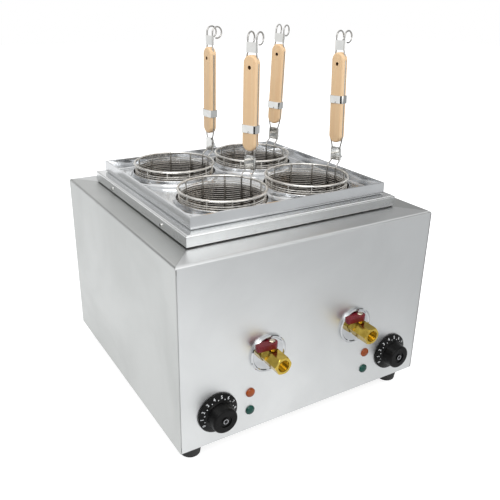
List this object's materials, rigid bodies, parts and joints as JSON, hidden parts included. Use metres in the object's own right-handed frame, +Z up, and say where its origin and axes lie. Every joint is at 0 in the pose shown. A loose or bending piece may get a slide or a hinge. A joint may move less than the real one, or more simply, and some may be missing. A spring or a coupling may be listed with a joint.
{
  "type": "pasta cooker",
  "caption": "Countertop electric pasta cooker: steel casing, water tanks with drain valves and thermostat dials, and lift-out wire baskets with upright wooden handles.",
  "frame": {"origin": "on the table, under the middle of the casing", "axes": "+Z up, -Y towards the front with the dials and valves, +X to the right as seen from the front"},
  "size_m": [0.45, 0.53, 0.5847],
  "materials": {
    "casing_steel": "fine brushed stainless sheet",
    "tank_steel": "mill-finish stainless sheet",
    "deck_steel": "bright satin stainless sheet",
    "basket_wire": "bright drawn stainless wire",
    "strap_steel": "polished spring strip",
    "screw_steel": "plain stainless screws",
    "heater_steel": "dull heater tube",
    "chrome": "mirror chrome plate",
    "brass": "machined brass",
    "stem_nickel": "nickel-plated brass",
    "shaft_metal": "plain bright metal",
    "lever_red": "crimson coating",
    "knob_black": "satin black with white dial marks",
    "amber_lens": "clear amber lens",
    "green_lens": "clear green lens",
    "rubber": "black rubber",
    "gland_plastic": "black nylon",
    "thermostat_plastic": "ivory insulating plastic",
    "grip_wood": "pale beech, unvarnished"
  },
  "bodies": {
    "casing": {"front_panel": "casing_steel", "left_panel": "casing_steel", "right_panel": "casing_steel", "rear_panel": "casing_steel", "base_plate": "tank_steel", "feet": "rubber", "foot_screws": "screw_steel", "tank_gasket": "rubber", "tank_left": "tank_steel", "tank_right": "tank_steel", "surround": "casing_steel", "surround_screws": "screw_steel", "deck_tray": "deck_steel", "heater_left": "heater_steel", "heater_right": "heater_steel", "guard_left": "tank_steel", "guard_right": "tank_steel", "escutcheon_left": "chrome", "escutcheon_right": "chrome", "valve_body_left": "brass", "valve_body_right": "brass", "thermostat_left": "thermostat_plastic", "thermostat_right": "thermostat_plastic", "amber_lamps": "amber_lens", "green_lamps": "green_lens", "cable_gland": "gland_plastic", "terminal_block": "thermostat_plastic"},
    "valve_left": {"valve_lever_left": "lever_red", "valve_stem_left": "stem_nickel"},
    "valve_right": {"valve_lever_right": "lever_red", "valve_stem_right": "stem_nickel"},
    "dial_left": {"knob_left": "knob_black", "thermostat_shaft_left": "shaft_metal"},
    "dial_right": {"knob_right": "knob_black", "thermostat_shaft_right": "shaft_metal"},
    "basket_back_left": {"basket_back_left_frame": "basket_wire", "basket_back_left_rings": "basket_wire", "basket_back_left_handle_wires": "basket_wire", "basket_back_left_clips": "strap_steel", "basket_back_left_grip": "grip_wood"},
    "band_back_left": {"basket_back_left_band": "strap_steel"},
    "basket_back_right": {"basket_back_right_frame": "basket_wire", "basket_back_right_rings": "basket_wire", "basket_back_right_handle_wires": "basket_wire", "basket_back_right_clips": "strap_steel", "basket_back_right_grip": "grip_wood"},
    "band_back_right": {"basket_back_right_band": "strap_steel"},
    "basket_front_left": {"basket_front_left_frame": "basket_wire", "basket_front_left_rings": "basket_wire", "basket_front_left_handle_wires": "basket_wire", "basket_front_left_clips": "strap_steel", "basket_front_left_grip": "grip_wood"},
    "band_front_left": {"basket_front_left_band": "strap_steel"},
    "basket_front_right": {"basket_front_right_frame": "basket_wire", "basket_front_right_rings": "basket_wire", "basket_front_right_handle_wires": "basket_wire", "basket_front_right_clips": "strap_steel", "basket_front_right_grip": "grip_wood"},
    "band_front_right": {"basket_front_right_band": "strap_steel"}
  },
  "joints": [
    {"name": "valve_left_turn", "type": "hinge", "parent": "casing", "child": "valve_left", "pos_m": [-0.082, -0.234, 0.153], "axis": [0, 0, 1], "range_deg": [0, 90]},
    {"name": "valve_right_turn", "type": "hinge", "parent": "casing", "child": "valve_right", "pos_m": [0.082, -0.234, 0.153], "axis": [0, 0, 1], "range_deg": [0, 90]},
    {"name": "dial_left_turn", "type": "hinge", "parent": "casing", "child": "dial_left", "pos_m": [-0.1656, -0.223, 0.0795], "axis": [0, 1, 0], "range_deg": [0, 270]},
    {"name": "dial_right_turn", "type": "hinge", "parent": "casing", "child": "dial_right", "pos_m": [0.1656, -0.223, 0.0795], "axis": [0, 1, 0], "range_deg": [0, 270]},
    {"name": "basket_back_left_lift", "type": "slide", "parent": "casing", "child": "basket_back_left", "axis": [0, 0, 1], "range_m": [0, 0.2]},
    {"name": "band_back_left_slide", "type": "slide", "parent": "basket_back_left", "child": "band_back_left", "axis": [0.0008, -0.0087, 1], "range_m": [-0.022, 0.088]},
    {"name": "basket_back_right_lift", "type": "slide", "parent": "casing", "child": "basket_back_right", "axis": [0, 0, 1], "range_m": [0, 0.2]},
    {"name": "band_back_right_slide", "type": "slide", "parent": "basket_back_right", "child": "band_back_right", "axis": [0.0137, -0.0302, 0.9995], "range_m": [-0.022, 0.088]},
    {"name": "basket_front_left_lift", "type": "slide", "parent": "casing", "child": "basket_front_left", "axis": [0, 0, 1], "range_m": [0, 0.2]},
    {"name": "band_front_left_slide", "type": "slide", "parent": "basket_front_left", "child": "band_front_left", "axis": [0, 0, 1], "range_m": [-0.022, 0.088]},
    {"name": "basket_front_right_lift", "type": "slide", "parent": "casing", "child": "basket_front_right", "axis": [0, 0, 1], "range_m": [0, 0.2]},
    {"name": "band_front_right_slide", "type": "slide", "parent": "basket_front_right", "child": "band_front_right", "axis": [-0.008, 0.0375, 0.9993], "range_m": [-0.058, 0.052]}
  ]
}
